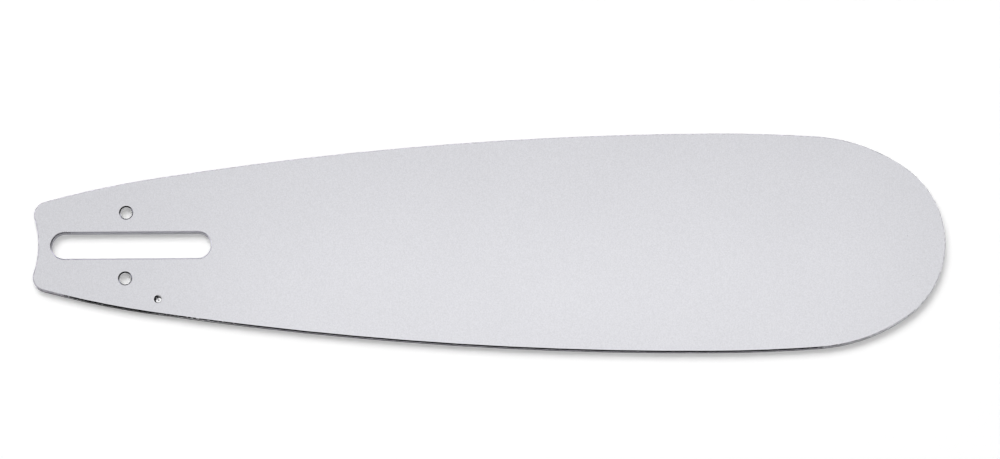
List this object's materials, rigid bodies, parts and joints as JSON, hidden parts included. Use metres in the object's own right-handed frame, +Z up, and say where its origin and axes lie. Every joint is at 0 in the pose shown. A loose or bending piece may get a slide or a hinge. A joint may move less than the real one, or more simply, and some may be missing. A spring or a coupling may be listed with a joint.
{
  "type": "chainsaw guide bar",
  "caption": "Flat solid-nose chainsaw guide bar: a tapered steel plate with a chain groove round its rim, a long stud slot, tensioner pin holes and oil holes near its hollow tail.",
  "frame": {"origin": "centre of the stud slot, on the underside that the bar lies on", "axes": "+Y along the bar's centre line from the tail to the nose, +Z up through its thickness, +X across it"},
  "size_m": [0.1032, 0.4216, 0.0047],
  "materials": {
    "steel": "pale satin blasted faces, ground rails with a little dark hardening scale near the tail"
  },
  "bodies": {
    "root": {"guide_bar": "steel"}
  },
  "joints": []
}
